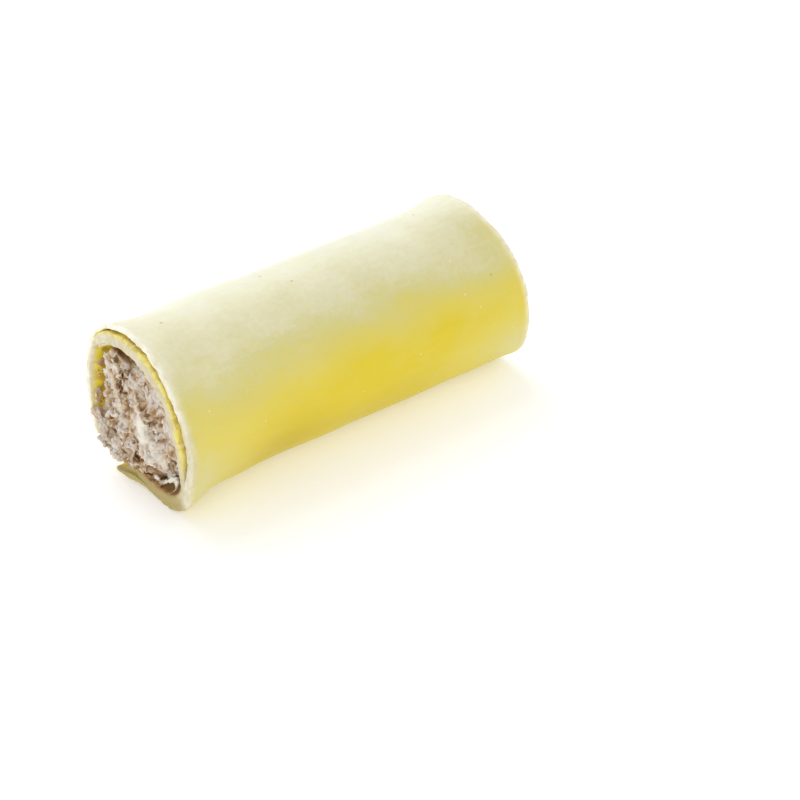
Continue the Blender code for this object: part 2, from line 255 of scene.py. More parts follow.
def sheet_thickness(clock):
    """The thickness of the pasta at this turn of the roll."""
    found = THICKNESS_STOPS[0][1]
    for (start, thick), (end, next_thick) in zip(THICKNESS_STOPS, THICKNESS_STOPS[1:]):
        found = found + (next_thick - thick) * fade(start, end, clock)
    return found


def inner_share(clock):
    """1 where the sheet is the inner layer, 0 where it is the outer one."""
    return 1.0 - fade(*STEP_OUT, clock)


def tip_share(clock):
    """1 at the sheet's first edge, falling to 0 a little way round."""
    return fade(INNER_EDGE + TIP_LIFT_REACH, INNER_EDGE, clock)


def sheet_depth(clock):
    """How deep the sheet's outer face lies under the roll's surface."""
    gap = LAYER_GAP * (1.0 - (1.0 - TIP_GAP_SHARE) * tip_share(clock))
    return inner_share(clock) * (sheet_thickness(clock + FULL_TURN) + gap)


def gap_filler(clock):
    """How much thicker the inner layer is on its outside than in the CAD, so that the layers touch."""
    fused = window(FUSED_SPAN, clock)
    shown = SHOWN_GAP * (1.0 - tip_share(clock))
    return inner_share(clock) * (LAYER_GAP - shown + (SHOWN_GAP + FUSED_OVERLAP) * fused)


def lip_share(clock):
    """How much of the lip's flare the sheet follows."""
    apart = inner_share(clock) * (1.0 - tip_share(clock)) * (1.0 - window(FUSED_SPAN, clock))
    return 1.0 - (1.0 - INNER_LIP_SHARE) * apart


def ripple(clock, rate, start):
    """Soft waves along a cut end."""
    return RIPPLE * np.sin(np.radians(clock * rate + start))


def near_edge(clock):
    """Where the sheet ends at the shown end."""
    standing_out = STAND_OUT * window(STAND_OUT_SPAN, clock)
    torn_back = TEAR_DEPTH * window(TEAR_SPAN, clock)
    outer_tip = TIP_OUT * fade(TIP_START, OUTER_EDGE, clock)
    return NEAR_END + torn_back - standing_out - outer_tip + ripple(clock, *NEAR_RIPPLE)


def far_cut(clock):
    """The slanting plane of the hidden end."""
    side, rise = np.sin(np.radians(clock)), np.cos(np.radians(clock))
    return FAR_END + FAR_SLANT_RIGHT * side + FAR_SLANT_TOP * rise


def far_edge(clock):
    """Where the sheet ends at the hidden end."""
    return far_cut(clock) + ripple(clock, *FAR_RIPPLE) - FAR_SET_BACK * window(FAR_SET_BACK_SPAN, clock)


def filling_depth(clock, x, clearance=CLEARANCE):
    """How deep the filling's side lies under the roll's outline."""
    clock = (clock - INNER_EDGE) % FULL_TURN + INNER_EDGE
    second_layer = inner_share(clock) * (sheet_thickness(clock + FULL_TURN) + LAYER_GAP)
    before_edge = fade(INNER_EDGE + UNDER_EDGE_START, INNER_EDGE + UNDER_EDGE_FULL, clock)
    under_edge = before_edge * (THICKNESS_STOPS[0][1] + LAYER_GAP)
    depth = sheet_thickness(clock) + second_layer + under_edge + clearance
    outside_tear = 1.0 - fade(*SWELL_FADE, x - NEAR_END)
    return depth - window(SWELL_SPAN, clock) * outside_tear * (depth - SWELL_DEPTH)


def noise_at(places, size, seed=0.0):
    """Smooth noise from about -1 to 1 at each of the places."""
    shift = Vector((seed * 7.31, seed * 3.77, seed * 5.19))
    return np.array([noise.noise(Vector(p) / size + shift) for p in places])


def noise_sum(places, rows):
    """Smooth noise in several sizes, from rows of height, size and seed."""
    return sum(height * noise_at(places, size, seed) for height, size, seed in rows)


def cells_at(places, size, seed=0.0):
    """How far inside its cell each place is, 0 on the wall between two cells, and the cell's own number."""
    shift = Vector((seed * 2.71, seed * 6.13, seed * 4.57))
    inside, label = np.empty(len(places)), np.empty(len(places))
    for i, p in enumerate(places):
        away, centres = noise.voronoi(Vector(p) / size + shift)
        inside[i] = away[1] - away[0]
        label[i] = noise.cell(centres[0] * 9.0)
    return inside, label


def new_object(name, data):
    """An object that shows in the scene."""
    made = bpy.data.objects.new(name, data)
    bpy.context.scene.collection.objects.link(made)
    return made


def new_mesh_object(name, points, faces):
    """An object from points and faces."""
    mesh = bpy.data.meshes.new(name)
    mesh.from_pydata([tuple(p) for p in points], [], faces)
    return new_object(name, mesh)


def face_outwards(obj, weld=0.0):
    """Turns all faces outwards. Where a distance is given, points that lie that close are joined first."""
    mesh = bmesh.new()
    mesh.from_mesh(obj.data)
    if weld:
        bmesh.ops.remove_doubles(mesh, verts=mesh.verts, dist=weld)
    bmesh.ops.recalc_face_normals(mesh, faces=mesh.faces)
    mesh.to_mesh(obj.data)
    mesh.free()


def store(obj, name, values):
    """Keeps one number for each point of the mesh, for its material to read."""
    layer = obj.data.attributes.new(name, "FLOAT", "POINT")
    layer.data.foreach_set("value", np.asarray(values, dtype=np.float32))


# The pasta piece: how finely it is divided, and how round its cut edges are
ROUND_REACH = 0.0007
EDGE_POWER = 3.2
ROW_CROWDING = 0.115
SHEET_COLUMNS = 330
SHEET_ROWS = 120
EDGE_STEPS = 8
WELD = 0.000004
SHARP_ANGLE = 50.0

# Brown smears: on the lowest layer, and on the wall beside the filling
SMEAR_SPAN = (118.0, 206.0, 10.0)
SMEAR_REACH = 0.009
WALL_SPAN = (258.0, 322.0, 10.0)
WALL_PLACE = 0.0026
WALL_REACH = 0.0016
WALL_SHARE = 0.6
BLOT_SIZE = 0.0014

# The yellow groove between the layers: on the inner layer's outside, and on the outer layer's inside
# Partly painted shade: the groove is painted darker as well as yellower, standing for the shade between the
# layers
GROOVE_FADE = (118.0, 84.0)
FACING_SPAN = (336.0, 444.0, 26.0)
FACING_REACH = 0.003
FACING_SHARE = 0.7

# How much darker and yellower the cut faces are, partly painted shade: of the inner layer, low on the right,
# and at the bottom
INNER_RIM = 0.5
INNER_RIM_TIP = 0.5
RIGHT_RIM = 0.36
RIGHT_RIM_SPAN = (78.0, 142.0, 34.0)
LOW_RIM = 0.95
LOW_RIM_SPAN = (142.0, 222.0, 26.0)
RIM_REACH = 0.0012

# How far inside a cut edge the pasta's inside turns wet yellow, brightened with painted light, and how far in
# the cut's own colour reaches
WET_AND_LIT_FADE = (0.0004, 0.0016)
CUT_REACH = 0.001
CUT_LESS_IN_GROOVE = 0.0005

# Clouds in the skin's colour, in the same measures as the swellings: how much yellower
TONE_CLOUDS = (
    (0.0, 112.0, 0.012, 36.0, -0.44), (0.012, 64.0, 0.012, 18.0, -0.06),
    (0.027, 102.0, 0.012, 22.0, 0.06), (0.023, 88.0, 0.01, 12.0, -0.05),
    (0.042, 86.0, 0.011, 22.0, 0.16), (0.06, 74.0, 0.007, 16.0, 0.14),
    (0.054, 50.0, 0.005, 9.0, 0.12), (0.027, 48.0, 0.007, 9.0, 0.06),
    (0.022, 34.0, 0.007, 10.0, -0.09), (0.05, 62.0, 0.004, 9.0, -0.1),
    (0.058, 2.0, 0.008, 18.0, -0.05), (0.075, 54.0, 0.007, 12.0, -0.1),
    # Painted light: the cloud at the far end low on the right, at 0.079 and 116, paints that end paler and
    # brighter
    (0.079, 116.0, 0.012, 22.0, -0.46), (0.0785, 26.0, 0.007, 20.0, 0.17),
    (0.001, 20.0, 0.003, 20.0, -0.1), (0.0078, 8.0, 0.0045, 18.0, 0.07),
    (0.001, 60.0, 0.005, 10.0, 0.06),
)

# Painted shade: where the skin is painted darker, standing for the shade on its right side, mostly in its low
# dent
SHADES = (
    (0.022, 120.0, 0.0105, 22.0, 0.42),
    (0.045, 124.0, 0.014, 18.0, 0.22),
    (0.011, 68.0, 0.005, 9.0, 0.05),
)


def rounding(level):
    """How far inside the cut edge the sheet reaches this share of its thickness."""
    return ROUND_REACH * (1.0 - (1.0 - level**EDGE_POWER) ** (1.0 / EDGE_POWER))


def sheet_grid():
    """Clock angles and shares of thickness of the sheet's columns, and the same for its rows."""
    levels = np.sin(np.linspace(0.0, math.pi / 2.0, EDGE_STEPS))
    degrees = np.degrees(rounding(levels) / HALF_WIDTH)
    reach = math.degrees(ROUND_REACH / HALF_WIDTH)
    middle = np.linspace(INNER_EDGE + reach, OUTER_EDGE - reach, SHEET_COLUMNS)[1:-1]
    clocks = np.concatenate([INNER_EDGE + degrees, middle, (OUTER_EDGE - degrees)[::-1]])
    clock_share = np.concatenate([levels, np.ones(len(middle)), levels[::-1]])
    spread = np.linspace(0.0, 1.0, SHEET_ROWS)[1:-1]
    spread = spread - ROW_CROWDING * np.sin(2.0 * math.pi * spread)
    row_share = np.concatenate([levels, np.ones(len(spread)), levels[::-1]])
    return clocks, clock_share, spread, levels, row_share


def skin_faces(columns, rows):
    """The faces of both skins, each looking its own way."""
    faces = []
    for start, way in ((0, 1), (columns * rows, -1)):
        for i in range(columns - 1):
            for j in range(rows - 1):
                a = start + i * rows + j
                faces.append((a, a + rows, a + rows + 1, a + 1)[::way])
    return faces


def on_both(values):
    """The grid's values as one row, for the points of both skins."""
    return np.tile(values.reshape(-1), 2)


def make_pasta():
    """The rolled sheet as one closed surface: two skins that meet along rounded cut edges."""
    clocks, clock_share, spread, levels, row_share = sheet_grid()
    columns, rows = len(clocks), len(row_share)
    clock = np.repeat(clocks[:, None], rows, axis=1)
    grown = window(COMMON_EDGE_SPAN, clocks - FULL_TURN)
    near = near_edge(clocks) + LESS_OUT * window(LESS_OUT_SPAN, clocks)
    near = (near + grown * (near_edge(clocks - FULL_TURN) + COMMON_EDGE_STEP - near))[:, None]
    far = far_edge(clocks)[:, None]
    inset = rounding(levels)[None, :]
    middle = near + ROUND_REACH + (far - near - 2.0 * ROUND_REACH) * spread[None, :]
    x = np.concatenate([near + inset, middle, (far - inset)[:, ::-1]], axis=1)
    filler = gap_filler(clock)
    thick = sheet_thickness(clock) + filler + FULLER * window(FULLER_SPAN, clock)
    across, up = layer_point(clock, x, sheet_depth(clock) - filler - lip(clock, x) * lip_share(clock))
    outer = np.stack([x, SIDE_SHIFT - across, up], axis=-1)

    turned = np.radians(clock)
    wrapped = np.stack([x, HALF_WIDTH * np.sin(turned), HALF_WIDTH * np.cos(turned)], axis=-1).reshape(-1, 3)
    wave = sum(
        height * noise_at(wrapped * [squeeze, 1.0, 1.0], size, seed) for height, size, squeeze, seed in WAVES
    )
    wave = wave.reshape(columns, rows) * fade(*WAVES_FADE, turn_between(clock, TABLE_CLOCK))
    outward = np.stack([np.zeros_like(x), -np.sin(turned), np.cos(turned)], axis=-1)
    outer = outer + outward * wave[..., None]

    normal = np.cross(np.gradient(outer, axis=0), np.gradient(outer, axis=1))
    normal /= np.linalg.norm(normal, axis=-1, keepdims=True)
    missing = 1.0 - clock_share[:, None] * row_share[None, :]
    pinch = 0.5 + 0.5 * window(FUSED_SPAN, clock) - 0.5 * window(FUSED_SPAN, clock - FULL_TURN)
    skins = [
        outer - normal * (thick * missing * (1.0 - pinch))[..., None],
        outer - normal * (thick * (1.0 - missing * pinch))[..., None],
    ]
    points = np.concatenate([skin.reshape(-1, 3) for skin in skins])
    made = new_mesh_object("pasta_roll", points, skin_faces(columns, rows))

    edge_near = on_both(x - near)
    from_edge = np.minimum(edge_near, on_both(far - x))
    pulp = noise_sum(points, PULP) * (1.0 + TIP_PULP * on_both(tip_share(clock)))
    points[:, 0] += pulp * bell(from_edge, PULP_REACH)
    made.data.vertices.foreach_set("co", points.reshape(-1))
    inside = np.repeat([0.0, 1.0], columns * rows)
    clock, from_near, within = on_both(clock), on_both(x - NEAR_END), on_both(1.0 - missing)
    mark_pasta(made, points, inside, clock, from_near, edge_near, from_edge, within)
    face_outwards(made, WELD)
    made.data.shade_smooth()
    made.data.set_sharp_from_angle(angle=math.radians(SHARP_ANGLE))
    return made


def mark_pasta(made, points, inside, clock, from_near, edge_near, from_edge, within):
    """Stores where the pasta is smeared, yellow, moist or cut, and its painted light and shade. within is
    each point's share of thickness.
    """
    blots = fade(-0.1, 0.35, noise_at(points, BLOT_SIZE, 7.0))
    under = window(SMEAR_SPAN, clock) * inside * bell(from_near, SMEAR_REACH)
    under = under * fade(0.7, 1.0, within)
    wall = window(WALL_SPAN, clock) * inside * bell(from_near - WALL_PLACE, WALL_REACH)
    store(made, "residue", np.clip(under * (1.15 + 0.35 * blots) + WALL_SHARE * wall * blots, 0.0, 1.0))
    inner = inner_share(clock)
    groove = inner * (1.0 - inside) * fade(*GROOVE_FADE, clock)
    facing = window(FACING_SPAN, clock) * inside * (1.0 - fade(0.0, FACING_REACH, from_near))
    facing = FACING_SHARE * facing * fade(0.5, 0.9, within)
    store(made, "groove", groove * fade(0.45, 0.8, within) + facing)
    on_roll = clock % FULL_TURN
    rim = INNER_RIM * inner * (1.0 - INNER_RIM_TIP * tip_share(clock))
    rim = rim + RIGHT_RIM * (1.0 - inner) * window(RIGHT_RIM_SPAN, on_roll)
    rim = np.maximum(rim, LOW_RIM * window(LOW_RIM_SPAN, on_roll))
    store(made, "rim", rim * bell(edge_near, RIM_REACH))
    store(made, "wet_and_lit", inside * fade(*WET_AND_LIT_FADE, from_edge))
    store(made, "cut", bell(from_edge, CUT_REACH - CUT_LESS_IN_GROOVE * groove))
    store(made, "tone", tone_of(clock, from_near))
    # Painted shade on the skin
    store(made, "shade", clouds(SHADES, clock, from_near))


def clouds(spots, clock, from_near):
    """The sum of soft spots on the rolled skin."""
    total = np.zeros_like(clock)
    for from_end, centre, reach_x, reach_clock, amount in spots:
        away = ((from_near - from_end) / reach_x) ** 2 + (turn_between(clock, centre) / reach_clock) ** 2
        total = total + amount * np.exp(-away)
    return total


def tone_of(clock, from_near):
    """How yellow the skin is: 0 is pale cream, 1 the deepest yellow. It grows down the right side."""
    signed = (clock + 180.0) % FULL_TURN - 180.0
    down_right = 0.5 * fade(-34.0, 80.0, signed)
    low = 0.4 * fade(42.0, 92.0, signed)
    under = 0.12 * fade(120.0, 155.0, signed)
    left = 0.45 * fade(40.0, 110.0, -signed)
    return np.clip(down_right + low - under + left + clouds(TONE_CLOUDS, clock, from_near), 0.0, 1.0)


def face_depth(across, up, hollows):
    """How far a cut face lies inside the end of the roll, before its crags."""
    depth = 0.0
    for centre_across, centre_up, half_width, half_height, lean, amount in hollows:
        turn = math.radians(lean)
        side, rise = across - centre_across, up - centre_up
        along = (side * math.cos(turn) - rise * math.sin(turn)) / half_width
        over = (side * math.sin(turn) + rise * math.cos(turn)) / half_height
        depth = depth + amount * np.exp(-along * along - over * over)
    return depth


def ring_faces(first, last, spokes):
    """Faces between rings of points: the first and the last ring start at these points."""
    faces = []
    for a in range(first, last, spokes):
        for s in range(spokes):
            t, b = (s + 1) % spokes, a + spokes
            faces.append((a + s, b + s, b + t, a + t))
    return faces


def plug(name, near):
    """One end of the filling as a closed solid with the large hollows and bulges of its cut face."""
    radius = np.linspace(0.0, 1.0, PLUG_RINGS + 1)[1:]
    clocks = np.arange(PLUG_SPOKES) * FULL_TURN / PLUG_SPOKES
    radius, clock = np.meshgrid(radius, clocks, indexing="ij")
    end = np.full_like(clock, NEAR_END if near else FAR_END)
    side_across, side_up = layer_point(clock, end, filling_depth(clock, end))
    across = side_across * radius
    up = CENTRE_HEIGHT + (side_up - CENTRE_HEIGHT) * radius
    if near:
        x = NEAR_END + face_depth(across, up, NEAR_FACE)
        back = NEAR_END + PLUG_DEPTH
    else:
        x = FAR_END + radius * (far_cut(clock) - FAR_END) - FAR_INSET - face_depth(across, up, FAR_HOLLOWS)
        back = FAR_END - PLUG_DEPTH
    points = [(x[0].mean(), SIDE_SHIFT, CENTRE_HEIGHT)]
    for row in zip(x, across, up):
        points += [(a, SIDE_SHIFT - b, c) for a, b, c in zip(*row)]
    for share in PLUG_SIDE_ROWS:
        row = x[-1] + (back - x[-1]) * share
        row_across, row_up = layer_point(clock[0], row, filling_depth(clock[0], row))
        points += [(a, SIDE_SHIFT - b, c) for a, b, c in zip(row, row_across, row_up)]
    points.append((back, SIDE_SHIFT, CENTRE_HEIGHT))
    last = len(points) - 1
    rim = last - PLUG_SPOKES
    faces = ring_faces(1, rim, PLUG_SPOKES)
    for s in range(PLUG_SPOKES):
        t = (s + 1) % PLUG_SPOKES
        faces += [(0, 1 + s, 1 + t), (rim + s, last, rim + t)]
    made = new_mesh_object(name, points, faces)
    face_outwards(made)
    return made


# How far lumps of meat lean, in degrees, and their bumps: height, how many across
LUMP_LEAN = 35.0
LUMP_BUMPS = ((0.55, 1.2), (0.3, 2.7))


def lump(place, size, seed):
    """An uneven little lump of meat, as a bmesh of its own."""
    ball = bmesh.new()
    bmesh.ops.create_icosphere(ball, subdivisions=3, radius=1.0)
    lean = Matrix.Rotation(math.radians(LUMP_LEAN) * math.sin(seed * 2.4), 3, "X")
    shifts = Vector((seed, 0.0, 0.0)), Vector((0.0, seed, 0.0))
    for v in ball.verts:
        bump = 1.0
        for (height, pace), shift in zip(LUMP_BUMPS, shifts):
            bump += height * noise.noise(v.co * pace + shift)
        v.co = lean @ Vector([c * s for c, s in zip(v.co, size)]) * bump + place
    return ball


# Pieces that stand out of the near face: across, up, out of the face, sizes
CHUNKS = (
    (-0.0136, 0.0106, 0.001, (0.0012, 0.0013, 0.0012)),
    (-0.0122, 0.0084, 0.0001, (0.001, 0.0012, 0.001)),
    (-0.0105, 0.0064, 0.0002, (0.0011, 0.0014, 0.0009)),
    (-0.0082, 0.005, 0.0002, (0.001, 0.0012, 0.0008)),
    (-0.0074, 0.0118, 0.0006, (0.0011, 0.0016, 0.0009)),
    (-0.0036, 0.0112, 0.0004, (0.001, 0.0013, 0.0016)),
    (-0.006, 0.015, 0.0003, (0.001, 0.0012, 0.0015)),
    (-0.0022, 0.006, 0.0002, (0.001, 0.0009, 0.0017)),
    (-0.0096, 0.02, -0.0004, (0.001, 0.001, 0.0017)),
    (0.0026, 0.0186, 0.0003, (0.0009, 0.001, 0.0026)),
    (0.0064, 0.0146, 0.0002, (0.0009, 0.0009, 0.0024)),
    (-0.002, 0.023, 0.0001, (0.001, 0.001, 0.0024)),
)

# A pale strand across the cavity: how creamy it is, and its course as across, up, out of the end, size
STRAND_CREAM = 0.7
STRAND = (
    (0.0047, 0.006, 0.0, 0.00034), (0.0059, 0.0055, 0.0002, 0.0003),
    (0.0071, 0.0062, 0.0003, 0.00026), (0.0082, 0.0069, 0.0003, 0.00022),
    (0.0093, 0.0076, 0.0003, 0.00022), (0.0102, 0.0084, 0.0002, 0.00024),
    (0.0109, 0.0088, 0.0001, 0.00024), (0.0111, 0.008, -0.0001, 0.00019),
    (0.011, 0.0072, -0.0002, 0.00019), (0.0106, 0.0062, -0.0002, 0.00019),
    (0.0102, 0.0054, -0.0001, 0.0002), (0.0095, 0.0046, 0.0, 0.00024),
    (0.0088, 0.004, 0.0001, 0.0003),
)


def between(chain, steps):
    """The chain's rows with even steps between each two of them."""
    rows = np.array(chain)
    places = np.linspace(0.0, len(rows) - 1.0, (len(rows) - 1) * steps + 1)
    return np.stack([np.interp(places, np.arange(len(rows)), column) for column in rows.T], axis=1)


def near_place(across, up, out):
    """A point of the near face, moved out of it."""
    return Vector((NEAR_END + float(face_depth(across, up, NEAR_FACE)) - out, SIDE_SHIFT - across, up))


# Scraps of filling smeared on the lowest layer. Some lie on its cut face.
SCRAP_COUNT = 110
SCRAP_ACROSS = (-0.0064, 0.0042)
SCRAP_SIZES = (0.00022, 0.00052)
SCRAP_FLOOR = 0.0041
SCRAP_DROP = 0.0004
SCRAPS_ON_CUT = 0.4

# Crumbs stuck to the yellow wall: groups of clock, spread and distance from the end
CRUMB_COUNT = 90
CRUMB_SIZES = (0.00016, 0.00028)
CRUMB_CLEARANCE = 0.00022
CRUMB_GROUPS = ((-61.0, 5.0, 0.0024), (-70.0, 4.0, 0.0018), (-95.0, 3.0, 0.0014), (-101.0, 2.0, 0.0008))


def scrap_place(pick):
    """The place and size of one scrap on the lowest layer, or on the upper part of its cut face."""
    across = pick.uniform(*SCRAP_ACROSS)
    size = pick.uniform(*SCRAP_SIZES)
    floor = SCRAP_FLOOR - SCRAP_DROP * fade(-0.004, 0.002, across)
    if pick.random() < SCRAPS_ON_CUT:
        size = size * 0.8
        place = Vector((NEAR_END + 0.0001, SIDE_SHIFT - across, floor - pick.uniform(0.0, 0.0006)))
        return place, (size * 0.6, size, size)
    place = Vector((NEAR_END + pick.uniform(0.0003, 0.0026), SIDE_SHIFT - across, floor))
    return place, (size, size * 1.5, size * 0.6)


def crumb_place(pick):
    """The place and size of one crumb on the inside of the left wall."""
    centre, reach, from_end = CRUMB_GROUPS[pick.randrange(len(CRUMB_GROUPS))]
    clock = pick.gauss(centre, reach)
    x = NEAR_END + max(0.0004, pick.gauss(from_end, 0.0006))
    across, up = layer_point(clock, x, filling_depth(clock, x, CRUMB_CLEARANCE))
    size = pick.uniform(*CRUMB_SIZES)
    return Vector((x, SIDE_SHIFT - float(across), float(up))), (size * 1.2, size, size * 1.2)


# Lumps all over a cut face: how large, how far sunk in, and the hollows too deep or too dark for them
LUMP_SIZES = (0.0005, 0.0012)
LUMP_SUNK = 0.0005
LUMP_TOO_DEEP = 0.0012
LUMP_TOO_DARK = 0.15


def add_lumps(obj, near, count, seed):
    """Joins lumps of many sizes to a plug's mesh."""
    pick = random.Random(seed)
    whole = bmesh.new()
    whole.from_mesh(obj.data)
    parts = []
    if near:
        for i, (across, up, out, size) in enumerate(CHUNKS):
            parts.append(lump(near_place(across, up, out), size, 1.0 + i))
        for i, (across, up, out, size) in enumerate(between(STRAND, 5)):
            place = Vector((NEAR_END - out, SIDE_SHIFT - across, up))
            parts.append(lump(place, (size, size * 1.3, size * 1.3), 60.0 + 0.4 * i))
        for i in range(SCRAP_COUNT):
            parts.append(lump(*scrap_place(pick), 100.0 + i))
        for i in range(CRUMB_COUNT):
            parts.append(lump(*crumb_place(pick), 300.0 + i))
    end = NEAR_END if near else FAR_END
    for i in range(count):
        clock, share = pick.uniform(0.0, 360.0), math.sqrt(pick.uniform(0.0, 0.96))
        side_across, side_up = layer_point(clock, end, filling_depth(clock, end))
        across = float(side_across) * share
        up = CENTRE_HEIGHT + (float(side_up) - CENTRE_HEIGHT) * share
        big = pick.uniform(*LUMP_SIZES)
        size = (big * 0.8, big * pick.uniform(0.6, 1.1), big * pick.uniform(0.9, 2.0))
        sunk = pick.uniform(0.0, LUMP_SUNK)
        if near:
            if face_depth(across, up, NEAR_FACE) > LUMP_TOO_DEEP or hollow_share(across, up) > LUMP_TOO_DARK:
                continue
            place = near_place(across, up, -sunk)
        else:
            depth = float(face_depth(across, up, FAR_HOLLOWS))
            cut = FAR_END + share * (float(far_cut(clock)) - FAR_END) - FAR_INSET
            place = Vector((cut - depth - sunk, SIDE_SHIFT - across, up))
        parts.append(lump(place, size, 30.0 + i))
    holder = bpy.data.meshes.new("lump_holder")
    for part in parts:
        part.to_mesh(holder)
        whole.from_mesh(holder)
        part.free()
    whole.to_mesh(obj.data)
    whole.free()
    bpy.data.meshes.remove(holder)


def remesh(obj, voxel):
    """Fuses everything in the object to one skin of small even faces."""
    fuse = obj.modifiers.new("fuse", "REMESH")
    fuse.mode = "VOXEL"
    fuse.voxel_size = voxel
    flat = obj.evaluated_get(bpy.context.evaluated_depsgraph_get())
    mesh = bpy.data.meshes.new_from_object(flat)
    obj.modifiers.clear()
    old = obj.data
    obj.data = mesh
    bpy.data.meshes.remove(old)


def rows_of(obj, name):
    """The mesh's points ("co") or point normals ("normal") as rows of three."""
    flat = np.empty(len(obj.data.vertices) * 3)
    obj.data.vertices.foreach_get(name, flat)
    return flat.reshape(-1, 3)


# The dark hollows, painted brown and partly painted shade: the cavity low on the right, and the recess under
# the inner layer's tip, which tilts.
# Each has across, up, half width, half height, tilt. They shift down to the left for each metre of depth.
DARK_HOLLOWS = ((0.0084, 0.005, 0.0034, 0.0023, 0.0), (-0.0046, 0.0278, 0.004, 0.0012, 0.1))
HOLLOW_SLANT = (1.15, 0.99)


def hollow_share(across, up, inward=0.0):
    """1 in the dark hollows, painted brown and partly painted shade, fading to 0 round them."""
    total = 0.0
    for centre_across, centre_up, half_width, half_height, tilt in DARK_HOLLOWS:
        side = across + HOLLOW_SLANT[0] * inward - centre_across
        rise = up + HOLLOW_SLANT[1] * inward - centre_up + tilt * side
        total = np.maximum(total, np.exp(-(((side / half_width) ** 2 + (rise / half_height) ** 2) ** 2)))
    return total


def cream_share(points):
    """1 in the creamy lump and a little less in the pale strand, fading to 0 round them."""
    across, up = SIDE_SHIFT - points[:, 1], points[:, 2]
    total = np.zeros(len(points))
    for centre_across, centre_up, size, share in CREAM:
        away = np.hypot(across - centre_across, up - centre_up) / (1.1 * size)
        total = np.maximum(total, share * np.exp(-(away**2.8)))
    total = total * (1.0 - fade(0.0, 0.004, points[:, 0] - NEAR_END))
    for centre_across, centre_up, out, size in between(STRAND, 2):
        away = np.hypot(np.hypot(across - centre_across, up - centre_up), points[:, 0] - NEAR_END + out)
        total = np.maximum(total, STRAND_CREAM * np.exp(-((away / (1.8 * size)) ** 4)))
    return total


# Where the filling may stand out past the pasta's edge: the torn left side
OPEN_SPAN = (-152.0, -95.0, 10.0)


def keep_inside(points):
    """Keeps the filling off the pasta: no point lies further out than the filling's side there."""
    across, up = SIDE_SHIFT - points[:, 1], points[:, 2] - CENTRE_HEIGHT
    clock = np.degrees(np.arctan2(across, up))
    side_across, side_up = layer_point(clock, points[:, 0], filling_depth(clock, points[:, 0], TOUCHING))
    limit = np.hypot(side_across, side_up - CENTRE_HEIGHT)
    out = np.hypot(across, up)
    scale = np.where(out > limit, limit / np.maximum(out, 1e-9), 1.0)
    free = window(OPEN_SPAN, clock) * fade(0.0, -0.0002, points[:, 0] - NEAR_END)
    scale = scale + (1.0 - scale) * free
    return np.stack([points[:, 0], SIDE_SHIFT - across * scale, CENTRE_HEIGHT + up * scale], axis=1)


def browning(points):
    """1 where the mince is tan: in crumbs on the left wall and scraps on the lowest layer."""
    across, up = SIDE_SHIFT - points[:, 1], points[:, 2]
    from_end = points[:, 0] - NEAR_END
    smear = fade(0.0054, 0.0042, up) * fade(-0.008, -0.0055, across)
    clock = np.degrees(np.arctan2(across, up - CENTRE_HEIGHT))
    out = np.hypot(across, up - CENTRE_HEIGHT)
    on_wall = window((-104.0, -38.0, 6.0), clock) * fade(0.0136, 0.0144, out)
    return np.clip(smear + on_wall * fade(0.0002, 0.0008, from_end), 0.0, 1.0)


# Fibres of the mince run down to the right: their direction as across and up, and the squeeze along it
FIBRE = (0.42, -0.91)
FIBRE_SQUEEZE = 0.5
WARP_SIZE = 0.0026
WARP = 0.001

# The mince's swells (height, size, seed), its webs and its grains (size, height, sharpness or softness)
SWELLS = ((0.0003, 0.0042, 21.0), (0.00008, 0.0005, 22.0))
WEBS = ((0.0026, 0.00048, 0.12), (0.0013, 0.00036, 0.13), (0.0007, 0.0002, 0.17))
WEB_MEAN = 0.45
GRAINS = ((0.0017, 0.00032, 0.3), (0.0008, 0.0002, 0.34))
GRAIN_MEAN = 0.7
CLEFT_SIZE = 0.0021
CLEFT_DEPTH = 0.0006

# The relief fades out away from the end. It is weaker near the pasta and in cream, crumbs and hollows.
RELIEF_FADE = (0.0062, 0.0046)
WEAKER_OTHER = 0.8
WEAKER_AT_SIDE = 0.7
SIDE_FADE = (0.0122, 0.0148)
CREAM_RISE = 0.00045

# How dark the mince is without relief, how much relief makes it pale, and how much darker a metre of dent is
# Partly painted light and shade: the mince is painted paler where it stands out and darker in its pits and
# dents
PIT_MEAN = 0.38
PIT_HEIGHT = 0.0012
DENT_SHADE = 130.0


